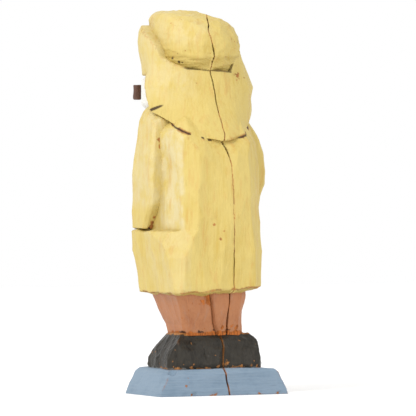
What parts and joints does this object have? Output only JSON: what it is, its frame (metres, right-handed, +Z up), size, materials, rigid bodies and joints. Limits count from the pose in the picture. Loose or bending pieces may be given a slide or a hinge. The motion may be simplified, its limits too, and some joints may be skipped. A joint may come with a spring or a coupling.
{
  "type": "carved wooden figurine",
  "caption": "Carved and painted wooden figurine of a bearded fisherman in oilskin hat and coat, smoking a pipe, on a tapered plinth.",
  "frame": {"origin": "centre of the plinth's underside, where the figurine stands", "axes": "+Z up, from the plinth to the top of the hat; the figure faces -Y and its left side is +X"},
  "size_m": [0.11, 0.1162, 0.2959],
  "materials": {
    "oilskin_paint": "worn yellow paint on carved wood",
    "trouser_paint": "thin terracotta paint on carved wood",
    "shoe_paint": "black paint on carved wood",
    "plinth_paint": "light blue paint on sawn wood",
    "skin_paint": "flesh paint on carved wood",
    "beard_paint": "white paint on carved wood",
    "pipe_wood": "dark brown stained dowel"
  },
  "bodies": {
    "root": {"plinth": "plinth_paint", "left_shoe": "shoe_paint", "right_shoe": "shoe_paint", "left_trouser_leg": "trouser_paint", "right_trouser_leg": "trouser_paint", "coat_body": "oilskin_paint", "coat_placket": "oilskin_paint", "coat_buttons": "shoe_paint", "coat_collar": "oilskin_paint", "left_sleeve": "oilskin_paint", "right_sleeve": "oilskin_paint", "head": "skin_paint", "beard": "beard_paint", "moustache": "beard_paint", "hat_crown": "oilskin_paint", "hat_brim": "oilskin_paint", "pipe_bowl": "pipe_wood", "pipe_stem": "pipe_wood"}
  },
  "joints": []
}
